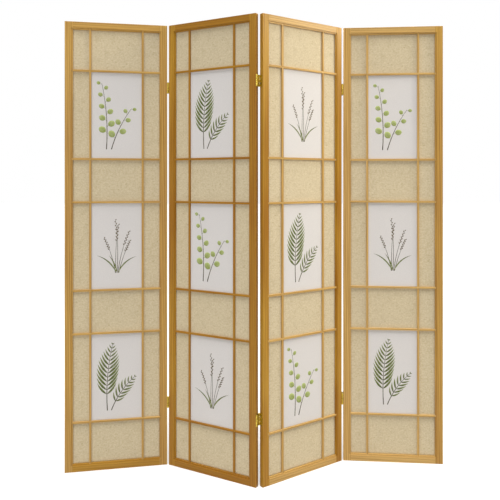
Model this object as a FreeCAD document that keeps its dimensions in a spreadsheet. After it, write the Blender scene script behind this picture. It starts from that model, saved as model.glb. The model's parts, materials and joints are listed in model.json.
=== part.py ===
import FreeCAD, Part
import os
import Sketcher

# A folding room divider of four lattice panels in wooden frames. Each panel has a fabric sheet between
# a front and a back lattice, and pale panes in the centre column. Brass hinges with a front and a back
# pin let each gap fold both ways. The divider stands in the zigzag in which it is shown.
#
# A panel's own frame: X from its left edge to its right edge, Y from front to back with zero in the
# middle of its thickness, Z up from the floor.

# Driving sizes: alias, value in millimetres (degrees for an angle), meaning.
SIZES = (
    ("panel_height", 1803, "height of a panel"),
    ("panel_width", 406, "width of a panel"),
    ("frame_thickness", 19, "thickness of the frame, front to back"),
    ("stile_width", 31, "width of a stile with its border"),
    ("rail_width", 31, "width of a rail with its border"),
    ("border_width", 6, "width of the set-back border round the frame's opening"),
    ("edge_ease", 1, "rounding of the frame's outer edges"),
    ("joint_clearance", 0.1, "play between a joint's wooden pieces"),
    ("tenon_length", 15, "reach of a rail's tenon into the stile"),
    ("tenon_thickness", 6, "thickness of a tenon"),
    ("tenon_shoulder", 6, "set-back of a tenon from the rail's two edges"),
    ("groove_depth", 5, "depth of the groove that holds the fabric"),
    ("fabric_inset", 4, "reach of the fabric into its groove"),
    ("fabric_thickness", 1, "thickness of the fabric sheet"),
    ("bar_width", 8, "face width of a lattice bar"),
    ("bar_depth", 6, "depth of a lattice bar, front to back"),
    ("bar_ease", 0.5, "chamfer of a lattice bar's outer edges"),
    ("housing_depth", 4, "reach of a lattice bar into the frame"),
    ("side_column", 99, "panel's edge to the middle of an upright"),
    ("tall_pitch", 355, "crossbar to crossbar over a tall cell"),
    ("short_pitch", 174, "crossbar to crossbar over a short cell"),
    ("pane_thickness", 0.6, "thickness of a pane"),
    ("pane_clearance", 0.3, "pane's edge to the bars round it"),
    ("hinge_height", 44, "height of a hinge"),
    ("hinge_end_distance", 256, "panel's end to the middle of a hinge"),
    ("leaf_thickness", 1.5, "thickness of a leaf and of its knuckles' wall"),
    ("link_thickness", 1.5, "thickness of the plate between the two pins"),
    ("pin_diameter", 3.4, "diameter of a hinge pin"),
    ("pin_head_diameter", 5, "diameter of a pin's heads"),
    ("pin_head_height", 0.8, "height of a pin's heads"),
    ("pin_seat_clearance", 0.02, "radial play of a pin in its link"),
    ("pin_running_clearance", 0.06, "radial play of a pin in its leaf"),
    ("barrel_clearance", 0.3, "knuckles to the panels and plates beside them"),
    ("knuckle_gap", 0.3, "knuckle to knuckle along a pin"),
    ("fold_clearance", 1, "face to face of two folded panels"),
    ("leaf_end_clearance", 0.5, "leaf's free edge to the other pin's knuckles"),
    ("screw_spacing", 24, "screw to screw on a leaf"),
    ("screw_length", 16, "length of a hinge screw with its head"),
    ("screw_shank_diameter", 3, "diameter of a screw's shank"),
    ("screw_head_diameter", 5.6, "diameter of a screw's countersunk head"),
    ("screw_tip_length", 3, "length of a screw's point"),
    ("screw_clearance", 0.1, "radial play of a screw in leaf and stile"),
    ("recess_span", 3.2, "length of each arm pair of a screw's cross recess"),
    ("recess_width", 0.9, "width of the arms of the cross recess"),
    ("recess_depth", 0.9, "depth of the cross recess"),
    ("access_hole_diameter", 6.4, "hole in a link through which a screw is driven"),
    ("cut_overrun", 1, "reach of a cut past the faces that it opens"),
    ("panel_2_yaw_angle", -28.8, "turn of panel 2 about the vertical"),
    ("fold_12_angle", 39.6, "fold of panels 1 and 2 towards the front"),
    ("fold_23_angle", 63.5, "fold of panels 2 and 3 towards the back"),
    ("fold_34_angle", 39.7, "fold of panels 3 and 4 towards the front"),
)

PANEL_COUNT = 4
ROW_COUNT = 3
HINGE_COUNT = 2
SCREW_COUNT = 2
KNUCKLE_COUNT = 5
COUNTERSINK_ANGLE = 90
TOLERANCE = 1e-6

# The leaves have every other knuckle of a pin, from the first to the last, and the links those between.
leaf_knuckles = range(0, KNUCKLE_COUNT, 2)
link_knuckles = range(1, KNUCKLE_COUNT, 2)
panel_numbers = range(1, PANEL_COUNT + 1)
gaps = [(left, left + 1) for left in range(1, PANEL_COUNT)]

# Sizes that follow from the driving ones.
FITS = (
    ("half_thickness", "Sizes.frame_thickness / 2"),
    ("opening_width", "Sizes.panel_width - 2 * Sizes.stile_width"),
    ("opening_height", "Sizes.panel_height - 2 * Sizes.rail_width"),
    ("row_pitch", "Sizes.tall_pitch + Sizes.short_pitch"),
    ("rows_height", "%d * Fits.row_pitch + Sizes.tall_pitch" % (ROW_COUNT - 1)),
    ("end_row", "(Sizes.panel_height - Fits.rows_height) / 2"),
    ("fabric_face", "Sizes.fabric_thickness / 2"),
    ("lattice_face", "Fits.fabric_face + Sizes.bar_depth"),
    ("border_depth", "Fits.half_thickness - Fits.lattice_face"),
    ("half_socket", "Sizes.bar_width / 2 + Sizes.joint_clearance"),
    ("barrel_radius", "Sizes.pin_diameter / 2 + Sizes.leaf_thickness"),
    ("knuckle_notch", "Fits.barrel_radius + Sizes.barrel_clearance"),
    ("panel_gap", "2 * Fits.knuckle_notch"),
    ("axis_offset", "(Sizes.frame_thickness + Sizes.fold_clearance) / 2"),
    ("leaf_reach", "2 * Fits.axis_offset - Fits.barrel_radius - Sizes.leaf_end_clearance"),
    ("screw_shift", "Fits.axis_offset - (Fits.knuckle_notch + Fits.leaf_reach) / 2"),
    ("knuckle_pitch", "(Sizes.hinge_height + Sizes.knuckle_gap) / %d" % KNUCKLE_COUNT),
    ("knuckle_height", "Fits.knuckle_pitch - Sizes.knuckle_gap"),
    ("hinge_low", "Sizes.hinge_end_distance - Sizes.hinge_height / 2"),
    ("hinge_top", "Sizes.hinge_end_distance + Sizes.hinge_height / 2"),
    ("hinge_spacing", "Sizes.panel_height - 2 * Sizes.hinge_end_distance"),
    ("low_screw", "Sizes.hinge_end_distance - Sizes.screw_spacing / 2"),
    ("high_screw", "Sizes.hinge_end_distance + Sizes.screw_spacing / 2"),
)

doc = FreeCAD.newDocument("folding_room_divider")


def make_sizes():
    """Writes the sheet of driving sizes and the set of sizes that follow from it."""
    sheet = doc.addObject("Spreadsheet::Sheet", "Sizes")
    for row, (alias, value, meaning) in enumerate(SIZES, start=1):
        sheet.set("A%d" % row, meaning)
        sheet.set("B%d" % row, str(value))
        sheet.setAlias("B%d" % row, alias)
    doc.recompute()
    fits = doc.addObject("App::VarSet", "Fits")
    for name, formula in FITS:
        fits.addProperty("App::PropertyFloat", name, "Fits")
        fits.setExpression(name, formula)
    doc.recompute()
    return sheet


sizes = make_sizes()


def size(expression):
    """The present value of an expression in the sheet's sizes."""
    return float(sizes.evalExpression(expression))


def moved(x="0", y="0", z="0", turn=0, axis=FreeCAD.Vector(0, 0, 1)):
    """A placement: a turn in degrees about an axis through the origin, then a move."""
    place = FreeCAD.Vector(size(x), size(y), size(z))
    return FreeCAD.Placement(place, FreeCAD.Rotation(axis, turn))


def half_turned(x="0"):
    """A half turn about the vertical, then a move along the panel."""
    return moved(x=x, turn=180)


def new_body(label):
    """An empty body that may hold several separate solids."""
    body = doc.addObject("PartDesign::Body", label)
    body.Label = label
    body.AllowCompound = True
    return body


def origin_feature(body, role):
    """The body's own origin plane or axis with the given role."""
    return next(feature for feature in body.Origin.OriginFeatures if feature.Role == role)


def sketch_on(body, role, height="0", side="0"):
    """A sketch on an origin plane, raised along its normal and shifted along its second axis."""
    sketch = body.newObject("Sketcher::SketchObject", "Sketch")
    sketch.AttachmentSupport = (origin_feature(body, role), [""])
    sketch.MapMode = "FlatFace"
    sketch.setExpression("AttachmentOffset.Base.z", height)
    sketch.setExpression("AttachmentOffset.Base.y", side)
    return sketch


def tie(sketch, kind, geometry, point, expression):
    """Holds a point's distance from the sketch's origin to an expression."""
    constraint = Sketcher.Constraint(kind, -1, 1, geometry, point, size(expression))
    index = sketch.addConstraint(constraint)
    sketch.setExpression("Constraints[%d]" % index, expression)


def outline(sketch, corners):
    """Closes straight lines through the corners and ties each corner to the sheet."""
    first = sketch.GeometryCount
    points = [FreeCAD.Vector(size(x), size(y), 0) for x, y in corners]
    following = points[1:] + points[:1]
    for start, end in zip(points, following):
        sketch.addGeometry(Part.LineSegment(start, end))
    last = sketch.GeometryCount - 1
    for line in range(first, last):
        sketch.addConstraint(Sketcher.Constraint("Coincident", line, 2, line + 1, 1))
    sketch.addConstraint(Sketcher.Constraint("Coincident", last, 2, first, 1))
    for line, (x, y) in enumerate(corners, start=first):
        tie(sketch, "DistanceX", line, 1, x)
        tie(sketch, "DistanceY", line, 1, y)


def rectangle(sketch, left, right, low, high):
    """Draws a rectangle between two abscissae and two ordinates."""
    outline(sketch, ((left, low), (right, low), (right, high), (left, high)))


def circle(sketch, x, y, diameter):
    """Draws a circle and ties its centre and its diameter to the sheet."""
    centre = FreeCAD.Vector(size(x), size(y), 0)
    ring = sketch.addGeometry(Part.Circle(centre, FreeCAD.Vector(0, 0, 1), size(diameter) / 2))
    tie(sketch, "DistanceX", ring, 3, x)
    tie(sketch, "DistanceY", ring, 3, y)
    index = sketch.addConstraint(Sketcher.Constraint("Diameter", ring, size(diameter)))
    sketch.setExpression("Constraints[%d]" % index, diameter)


def pad(body, sketch, length):
    """Adds the sketch's outlines as solid, along its normal."""
    feature = body.newObject("PartDesign::Pad", "Pad")
    feature.Profile = sketch
    feature.setExpression("Length", length)
    return feature


def pocket(body, sketch, depth, along_normal=False):
    """Cuts the sketch's outlines to a depth, against its normal unless told otherwise."""
    feature = body.newObject("PartDesign::Pocket", "Pocket")
    feature.Profile = sketch
    feature.setExpression("Length", depth)
    feature.Reversed = along_normal
    return feature


def cut_through(body, sketch):
    """Cuts the sketch's outlines through the whole body, both ways."""
    feature = body.newObject("PartDesign::Pocket", "Pocket")
    feature.Profile = sketch
    feature.Type = "ThroughAll"
    feature.Midplane = True
    return feature


def repeat(body, length, count, feature=None):
    """Repeats one feature, or the whole body as it is by then, upwards over a length."""
    doc.recompute()
    pattern = body.newObject("PartDesign::LinearPattern", "LinearPattern")
    if feature is None:
        pattern.TransformMode = "Whole shape"
    else:
        pattern.Originals = [feature]
    pattern.Direction = (origin_feature(body, "Z_Axis"), [""])
    pattern.setExpression("Length", length)
    pattern.Occurrences = count
    body.Tip = pattern
    return pattern


def edges_where(feature, test):
    """Names the feature's edges whose middle passes the test."""
    doc.recompute()
    numbered = enumerate(feature.Shape.Edges, start=1)
    return ["Edge%d" % number for number, edge in numbered if test(edge.CenterOfMass)]


def near(value, expression):
    """Whether a coordinate is the one that an expression gives."""
    return abs(value - size(expression)) < TOLERANCE


def round_edges(body, feature, test, radius):
    """Rounds the edges of a feature whose middle passes the test."""
    fillet = body.newObject("PartDesign::Fillet", "Fillet")
    fillet.Base = (feature, edges_where(feature, test))
    fillet.setExpression("Radius", radius)
    return fillet


def bevel_edges(body, feature, test, width):
    """Chamfers the edges of a feature whose middle passes the test."""
    chamfer = body.newObject("PartDesign::Chamfer", "Chamfer")
    chamfer.Base = (feature, edges_where(feature, test))
    chamfer.setExpression("Size", width)
    return chamfer


def crossbar_pair(sketch, left, right, half_width):
    """Draws the lowest pair of crossbar rows, which the next pairs repeat."""
    for middle in ("Fits.end_row", "(Fits.end_row + Sizes.tall_pitch)"):
        rectangle(sketch, left, right, "%s - %s" % (middle, half_width), "%s + %s" % (middle, half_width))


def upright_pair(sketch, low, high, half_width):
    """Draws the two upright columns."""
    for middle in ("Sizes.side_column", "(Sizes.panel_width - Sizes.side_column)"):
        rectangle(sketch, "%s - %s" % (middle, half_width), "%s + %s" % (middle, half_width), low, high)


def set_back(body, left, right, low, high):
    """Cuts the frame's front and back faces down to the lattice's faces, over a rectangle."""
    for face, along_normal in (("Fits.half_thickness", False), ("-Fits.half_thickness", True)):
        border = sketch_on(body, "XZ_Plane", face)
        rectangle(border, left, right, low, high)
        pocket(body, border, "Fits.border_depth", along_normal)


def make_stile(label, hinged):
    """A stile with its outer face at X zero, grooved, mortised and bored for its hinges' screws."""
    body = new_body(label)
    section = sketch_on(body, "XY_Plane")
    rectangle(section, "0", "Sizes.stile_width", "-Fits.half_thickness", "Fits.half_thickness")
    post = pad(body, section, "Sizes.panel_height")

    def outer(middle):
        if near(middle.z, "Sizes.panel_height"):
            return not near(middle.x, "Sizes.stile_width")
        return near(middle.x, "0") and near(abs(middle.y), "Fits.half_thickness")

    round_edges(body, post, outer, "Sizes.edge_ease")
    border_low = "Sizes.rail_width - Sizes.border_width"
    set_back(body, "Sizes.stile_width - Sizes.border_width", "Sizes.stile_width + Sizes.cut_overrun",
             border_low, "Sizes.panel_height - (%s)" % border_low)

    half_mortise = "(Sizes.tenon_thickness / 2 + Sizes.joint_clearance)"
    mortise_low = "Sizes.tenon_shoulder - Sizes.joint_clearance"
    mortise_high = "Sizes.rail_width - Sizes.tenon_shoulder + Sizes.joint_clearance"
    mortises = sketch_on(body, "YZ_Plane", "Sizes.stile_width")
    rectangle(mortises, "-" + half_mortise, half_mortise, mortise_low, mortise_high)
    rectangle(mortises, "-" + half_mortise, half_mortise,
              "Sizes.panel_height - (%s)" % mortise_high, "Sizes.panel_height - (%s)" % mortise_low)
    pocket(body, mortises, "Sizes.tenon_length + Sizes.joint_clearance")

    half_groove = "(Fits.fabric_face + Sizes.joint_clearance)"
    groove_low = "Sizes.rail_width - Sizes.groove_depth"
    groove = sketch_on(body, "YZ_Plane", "Sizes.stile_width")
    rectangle(groove, "-" + half_groove, half_groove, groove_low, "Sizes.panel_height - (%s)" % groove_low)
    pocket(body, groove, "Sizes.groove_depth")

    half_slot = "(Fits.lattice_face + Sizes.joint_clearance)"
    sockets = sketch_on(body, "YZ_Plane", "Sizes.stile_width")
    crossbar_pair(sockets, "-" + half_slot, half_slot, "Fits.half_socket")
    lowest = pocket(body, sockets, "Sizes.housing_depth + Sizes.joint_clearance")
    repeat(body, "%d * Fits.row_pitch" % (ROW_COUNT - 1), ROW_COUNT, lowest)

    if hinged:
        bore = "Sizes.screw_shank_diameter + 2 * Sizes.screw_clearance"
        pilots = sketch_on(body, "YZ_Plane")
        circle(pilots, "Fits.screw_shift", "Fits.low_screw", bore)
        circle(pilots, "Fits.screw_shift", "Fits.high_screw", bore)
        depth = "Sizes.screw_length - Sizes.leaf_thickness + Sizes.screw_clearance"
        lower = pocket(body, pilots, depth, along_normal=True)
        repeat(body, "Fits.hinge_spacing", HINGE_COUNT, lower)
    return body


def make_rail(label, eased):
    """A bottom rail with tenons, grooved and housed on its upper face; a top rail is one turned over."""
    body = new_body(label)
    section = sketch_on(body, "YZ_Plane", "Sizes.stile_width")
    rectangle(section, "-Fits.half_thickness", "Fits.half_thickness", "0", "Sizes.rail_width")
    bar = pad(body, section, "Fits.opening_width")
    if eased:
        round_edges(body, bar, lambda middle: near(middle.z, "0") and not near(middle.y, "0"),
                    "Sizes.edge_ease")
    set_back(body, "Sizes.stile_width - Sizes.cut_overrun",
             "Sizes.panel_width - Sizes.stile_width + Sizes.cut_overrun",
             "Sizes.rail_width - Sizes.border_width", "Sizes.rail_width + Sizes.cut_overrun")

    tenons = sketch_on(body, "YZ_Plane", "Sizes.stile_width - Sizes.tenon_length")
    rectangle(tenons, "-Sizes.tenon_thickness / 2", "Sizes.tenon_thickness / 2",
              "Sizes.tenon_shoulder", "Sizes.rail_width - Sizes.tenon_shoulder")
    pad(body, tenons, "Fits.opening_width + 2 * Sizes.tenon_length")

    half_groove = "(Fits.fabric_face + Sizes.joint_clearance)"
    groove = sketch_on(body, "XY_Plane", "Sizes.rail_width")
    rectangle(groove, "Sizes.stile_width", "Sizes.panel_width - Sizes.stile_width",
              "-" + half_groove, half_groove)
    pocket(body, groove, "Sizes.groove_depth")

    half_slot = "(Fits.lattice_face + Sizes.joint_clearance)"
    sockets = sketch_on(body, "XY_Plane", "Sizes.rail_width")
    upright_pair(sockets, "-" + half_slot, half_slot, "Fits.half_socket")
    pocket(body, sockets, "Sizes.housing_depth + Sizes.joint_clearance")
    return body


def make_uprights(label):
    """Two front lattice uprights, notched in their front half where the crossbars lie over them."""
    body = new_body(label)
    bars = sketch_on(body, "XZ_Plane", "Fits.fabric_face")
    low = "Sizes.rail_width - Sizes.housing_depth"
    upright_pair(bars, low, "Sizes.panel_height - (%s)" % low, "Sizes.bar_width / 2")
    posts = pad(body, bars, "Sizes.bar_depth")

    def front(middle):
        return near(middle.y, "-Fits.lattice_face") and near(middle.z, "Sizes.panel_height / 2")

    bevel_edges(body, posts, front, "Sizes.bar_ease")
    laps = sketch_on(body, "XZ_Plane", "Fits.lattice_face")
    crossbar_pair(laps, "0", "Sizes.panel_width", "Fits.half_socket")
    lowest = pocket(body, laps, "Sizes.bar_depth / 2")
    repeat(body, "%d * Fits.row_pitch" % (ROW_COUNT - 1), ROW_COUNT, lowest)
    return body


def make_crossbars(label):
    """Six front lattice crossbars, notched in their rear half where they lie over the uprights."""
    body = new_body(label)
    bars = sketch_on(body, "XZ_Plane", "Fits.fabric_face")
    left = "Sizes.stile_width - Sizes.housing_depth"
    crossbar_pair(bars, left, "Sizes.panel_width - (%s)" % left, "Sizes.bar_width / 2")
    lowest = pad(body, bars, "Sizes.bar_depth")
    rows = repeat(body, "%d * Fits.row_pitch" % (ROW_COUNT - 1), ROW_COUNT, lowest)

    def front(middle):
        return near(middle.y, "-Fits.lattice_face") and near(middle.x, "Sizes.panel_width / 2")

    bevel_edges(body, rows, front, "Sizes.bar_ease")
    laps = sketch_on(body, "XZ_Plane", "Fits.fabric_face")
    upright_pair(laps, "0", "Sizes.panel_height", "Fits.half_socket")
    pocket(body, laps, "Sizes.bar_depth / 2", along_normal=True)
    return body


def make_fabric(label):
    """The fabric sheet, from groove to groove."""
    sheet = doc.addObject("Part::Box", label)
    sheet.Label = label
    sheet.setExpression("Length", "Fits.opening_width + 2 * Sizes.fabric_inset")
    sheet.setExpression("Width", "Sizes.fabric_thickness")
    sheet.setExpression("Height", "Fits.opening_height + 2 * Sizes.fabric_inset")
    return sheet


def make_panes(label):
    """Three panes on the fabric's front, in the tall cells of the centre column."""
    body = new_body(label)
    cell = sketch_on(body, "XZ_Plane", "Fits.fabric_face")
    edge = "(Sizes.bar_width / 2 + Sizes.pane_clearance)"
    rectangle(cell, "Sizes.side_column + " + edge, "Sizes.panel_width - Sizes.side_column - " + edge,
              "Fits.end_row + " + edge, "Fits.end_row + Sizes.tall_pitch - " + edge)
    lowest = pad(body, cell, "Sizes.pane_thickness")
    repeat(body, "%d * Fits.row_pitch" % (ROW_COUNT - 1), ROW_COUNT, lowest)
    return body


def knuckle_low(number):
    """Lower end of a knuckle, counted from the hinge's lower end."""
    return "(Fits.hinge_low + %d * Fits.knuckle_pitch)" % number


def clear_knuckles(body, numbers, ends):
    """Cuts a hinge piece away round the knuckles that the other piece has, between two ordinates each."""
    notches = sketch_on(body, "YZ_Plane")
    for number in numbers:
        low = knuckle_low(number) + " - Sizes.knuckle_gap"
        high = knuckle_low(number) + " + Fits.knuckle_height + Sizes.knuckle_gap"
        for front, back in ends:
            rectangle(notches, front, back, low, high)
    cut_through(body, notches)


def make_leaves(label):
    """Two hinge leaves with the front pin's outer and middle knuckles, on a panel edge at X zero."""
    body = new_body(label)
    plate = sketch_on(body, "YZ_Plane")
    rectangle(plate, "-Fits.axis_offset", "Fits.leaf_reach - Fits.axis_offset",
              "Fits.hinge_low", "Fits.hinge_top")
    pad(body, plate, "Sizes.leaf_thickness")
    barrel = sketch_on(body, "XY_Plane", "Fits.hinge_low")
    circle(barrel, "Fits.panel_gap / 2", "-Fits.axis_offset", "2 * Fits.barrel_radius")
    pad(body, barrel, "Sizes.hinge_height")
    front = "-Fits.axis_offset - Fits.barrel_radius - Sizes.cut_overrun"
    clear_knuckles(body, link_knuckles, ((front, "-Fits.axis_offset + Fits.knuckle_notch"),))
    bore = sketch_on(body, "XY_Plane", "Fits.hinge_low")
    circle(bore, "Fits.panel_gap / 2", "-Fits.axis_offset",
           "Sizes.pin_diameter + 2 * Sizes.pin_running_clearance")
    cut_through(body, bore)
    seats = sketch_on(body, "YZ_Plane", "Sizes.leaf_thickness")
    shank = "Sizes.screw_shank_diameter + 2 * Sizes.screw_clearance"
    circle(seats, "-Fits.screw_shift", "Fits.low_screw", shank)
    circle(seats, "-Fits.screw_shift", "Fits.high_screw", shank)
    doc.recompute()
    hole = body.newObject("PartDesign::Hole", "Hole")
    hole.Profile = seats
    hole.DepthType = "ThroughAll"
    hole.setExpression("Diameter", shank)
    hole.HoleCutType = "Countersink"
    hole.HoleCutCustomValues = True
    hole.setExpression("HoleCutDiameter", "Sizes.screw_head_diameter + 2 * Sizes.screw_clearance")
    hole.HoleCutCountersinkAngle = COUNTERSINK_ANGLE
    doc.recompute()
    repeat(body, "Fits.hinge_spacing", HINGE_COUNT)
    return body


def make_links(label):
    """Two hinge links: a plate in the middle of the gap with knuckles round both pins."""
    body = new_body(label)
    barrels = sketch_on(body, "XY_Plane", "Fits.hinge_low")
    bores = ("-Fits.axis_offset", "Fits.axis_offset")
    for y in bores:
        circle(barrels, "Fits.panel_gap / 2", y, "2 * Fits.barrel_radius")
    pad(body, barrels, "Sizes.hinge_height")
    plate = sketch_on(body, "XY_Plane", "Fits.hinge_low")
    rectangle(plate, "(Fits.panel_gap - Sizes.link_thickness) / 2",
              "(Fits.panel_gap + Sizes.link_thickness) / 2", "-Fits.axis_offset", "Fits.axis_offset")
    pad(body, plate, "Sizes.hinge_height")
    outer = "(Fits.axis_offset + Fits.barrel_radius + Sizes.cut_overrun)"
    inner = "(Fits.axis_offset - Fits.knuckle_notch)"
    clear_knuckles(body, leaf_knuckles, (("-" + outer, "-" + inner), (inner, outer)))
    pins = sketch_on(body, "XY_Plane", "Fits.hinge_low")
    for y in bores:
        circle(pins, "Fits.panel_gap / 2", y, "Sizes.pin_diameter + 2 * Sizes.pin_seat_clearance")
    cut_through(body, pins)
    access = sketch_on(body, "YZ_Plane")
    circle(access, "0", "Fits.low_screw", "Sizes.access_hole_diameter")
    circle(access, "0", "Fits.high_screw", "Sizes.access_hole_diameter")
    cut_through(body, access)
    repeat(body, "Fits.hinge_spacing", HINGE_COUNT)
    return body


def make_pins(label):
    """The front and back pins of two hinges, each with a head at both ends."""
    body = new_body(label)
    lengths = (
        ("Sizes.pin_diameter", "Fits.hinge_low - Sizes.knuckle_gap", "Fits.hinge_top + Sizes.knuckle_gap"),
        ("Sizes.pin_head_diameter", "Fits.hinge_low - Sizes.knuckle_gap - Sizes.pin_head_height",
         "Fits.hinge_low - Sizes.knuckle_gap"),
        ("Sizes.pin_head_diameter", "Fits.hinge_top + Sizes.knuckle_gap",
         "Fits.hinge_top + Sizes.knuckle_gap + Sizes.pin_head_height"),
    )
    for diameter, low, high in lengths:
        rounds = sketch_on(body, "XY_Plane", low)
        for y in ("-Fits.axis_offset", "Fits.axis_offset"):
            circle(rounds, "Fits.panel_gap / 2", y, diameter)
        pad(body, rounds, "(%s) - (%s)" % (high, low))
    repeat(body, "Fits.hinge_spacing", HINGE_COUNT)
    return body


def make_screws(label):
    """Countersunk screws of two leaves on a stile's outer face at X zero, driven towards plus X."""
    body = new_body(label)
    profile = sketch_on(body, "XY_Plane", "Fits.low_screw", "Fits.screw_shift")
    shank = "Sizes.screw_shank_diameter / 2"
    head = "Sizes.screw_head_diameter / 2"
    point = "Sizes.screw_length - Sizes.leaf_thickness"
    outline(profile, (
        ("-Sizes.leaf_thickness", "0"),
        (point, "0"),
        (point + " - Sizes.screw_tip_length", shank),
        ("-Sizes.leaf_thickness + %s - %s" % (head, shank), shank),
        ("-Sizes.leaf_thickness", head),
    ))
    turned = body.newObject("PartDesign::Revolution", "Revolution")
    turned.Profile = profile
    turned.ReferenceAxis = (profile, ["H_Axis"])
    near_arm = "Sizes.recess_width / 2"
    far_arm = "Sizes.recess_span / 2"
    quarter = ((far_arm, near_arm), (near_arm, near_arm), (near_arm, far_arm))
    corners = []
    for x, y in quarter:
        corners.append((x, y))
    for x, y in reversed(quarter):
        corners.append(("-" + x, y))
    for x, y in quarter:
        corners.append(("-" + x, "-" + y))
    for x, y in reversed(quarter):
        corners.append((x, "-" + y))
    recess = sketch_on(body, "YZ_Plane", "-Sizes.leaf_thickness")
    placed = []
    for y, z in corners:
        placed.append(("Fits.screw_shift + (%s)" % y, "Fits.low_screw + (%s)" % z))
    outline(recess, placed)
    pocket(body, recess, "Sizes.recess_depth", along_normal=True)
    repeat(body, "Sizes.screw_spacing", SCREW_COUNT)
    repeat(body, "Fits.hinge_spacing", HINGE_COUNT)
    return body


def fold(panel, pin_x, pin_y, next_pin_x, angle):
    """Places the next panel: its pin lies on this panel's pin, and it is turned by the fold."""
    pin = panel.multVec(FreeCAD.Vector(pin_x, pin_y, 0))
    turn = FreeCAD.Rotation(FreeCAD.Vector(0, 0, 1), angle).multiply(panel.Rotation)
    back = turn.multVec(FreeCAD.Vector(next_pin_x, pin_y, 0))
    return FreeCAD.Placement(pin.sub(back), turn)


def place_panels():
    """Places the four panels in their zigzag, with panel 2's left edge at the origin."""
    before = -size("Fits.panel_gap / 2")
    after = size("Sizes.panel_width + Fits.panel_gap / 2")
    back = size("Fits.axis_offset")
    front = -back
    panels = {2: moved(turn=size("Sizes.panel_2_yaw_angle"))}
    panels[1] = fold(panels[2], before, front, after, size("Sizes.fold_12_angle"))
    panels[3] = fold(panels[2], after, back, before, size("Sizes.fold_23_angle"))
    panels[4] = fold(panels[3], after, front, before, -size("Sizes.fold_34_angle"))
    return panels


panels = place_panels()
pieces = []


def add(piece, place):
    """Places a piece in the divider and notes it for writing."""
    piece.Placement = place
    pieces.append(piece)


hinged_edges = {number: set() for number in panel_numbers}
for left, right in gaps:
    hinged_edges[left].add("right")
    hinged_edges[right].add("left")

turned_over = moved("Sizes.panel_width", z="Sizes.panel_height", turn=180, axis=FreeCAD.Vector(0, 1, 0))
behind = half_turned("Sizes.panel_width")

for number in panel_numbers:
    panel = panels[number]
    name = "panel_%d_" % number
    add(make_stile(name + "left_stile", "left" in hinged_edges[number]), panel)
    add(make_stile(name + "right_stile", "right" in hinged_edges[number]), panel.multiply(behind))
    add(make_rail(name + "top_rail", True), panel.multiply(turned_over))
    add(make_rail(name + "bottom_rail", False), panel)
    add(make_uprights(name + "front_uprights"), panel)
    add(make_crossbars(name + "front_crossbars"), panel)
    add(make_uprights(name + "back_uprights"), panel.multiply(behind))
    add(make_crossbars(name + "back_crossbars"), panel.multiply(behind))
    seat = moved("Sizes.stile_width - Sizes.fabric_inset", "-Fits.fabric_face",
                 "Sizes.rail_width - Sizes.fabric_inset")
    add(make_fabric(name + "fabric_sheet"), panel.multiply(seat))
    add(make_panes(name + "print_panes"), panel)

# A link lies closed against the panel whose own pin is shut: panel 2 at both of its edges, and panel 4.
link_panels = {(1, 2): 2, (2, 3): 2, (3, 4): 4}
right_edge = moved("Sizes.panel_width")
left_gap = moved("-Fits.panel_gap")

link_places = {}
for left, right in gaps:
    name = "hinge_%d%d_" % (left, right)
    base = right_edge if link_panels[left, right] == left else left_gap
    link_places[left, right] = panels[link_panels[left, right]].multiply(base)
    add(make_leaves(name + "left_leaves"), panels[left].multiply(right_edge))
    add(make_leaves(name + "right_leaves"), panels[right].multiply(half_turned()))
    add(make_links(name + "links"), link_places[left, right])
    add(make_pins(name + "pins"), link_places[left, right])
    add(make_screws(name + "left_screws"), panels[left].multiply(behind))
    add(make_screws(name + "right_screws"), panels[right])

doc.recompute()

# The divider's box is centred over the origin, and its feet stay at height zero.
whole = FreeCAD.BoundBox()
for piece in pieces:
    whole.add(piece.Shape.optimalBoundingBox(False, False))
centring = FreeCAD.Placement(FreeCAD.Vector(-whole.Center.x, -whole.Center.y, 0), FreeCAD.Rotation())
for piece in pieces:
    piece.Placement = centring.multiply(piece.Placement)
doc.recompute()


def check():
    """Stops if any object failed, a cut took nothing away, or a piece isn't sound."""
    for thing in doc.Objects:
        if "Invalid" in thing.State or "Error" in thing.State:
            raise RuntimeError("%s failed: %s" % (thing.Label, thing.State))
        if thing.TypeId in ("PartDesign::Pocket", "PartDesign::Hole"):
            if thing.Shape.Volume > thing.BaseFeature.Shape.Volume - TOLERANCE:
                raise RuntimeError("%s cuts nothing" % thing.Label)
    for piece in pieces:
        if piece.Shape.isNull() or not piece.Shape.isValid():
            raise RuntimeError("%s isn't sound" % piece.Label)


check()
os.makedirs("parts", exist_ok=True)
for piece in pieces:
    piece.Shape.exportStep("parts/%s.step" % piece.Label)
    print("%-24s %2d solids %10.1f mm3" % (piece.Label, len(piece.Shape.Solids), piece.Shape.Volume))

for left, right in gaps:
    for name, y in (("front", "-Fits.axis_offset"), ("back", "Fits.axis_offset")):
        spot = FreeCAD.Vector(size("Fits.panel_gap / 2"), size(y), 0)
        axis = centring.multiply(link_places[left, right]).multVec(spot)
        print("hinge_%d%d %s pin at %.4f, %.4f" % (left, right, name, axis.x, axis.y))
print("box %.1f x %.1f x %.1f" % (whole.XLength, whole.YLength, whole.ZLength))
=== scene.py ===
import json
import math

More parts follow.
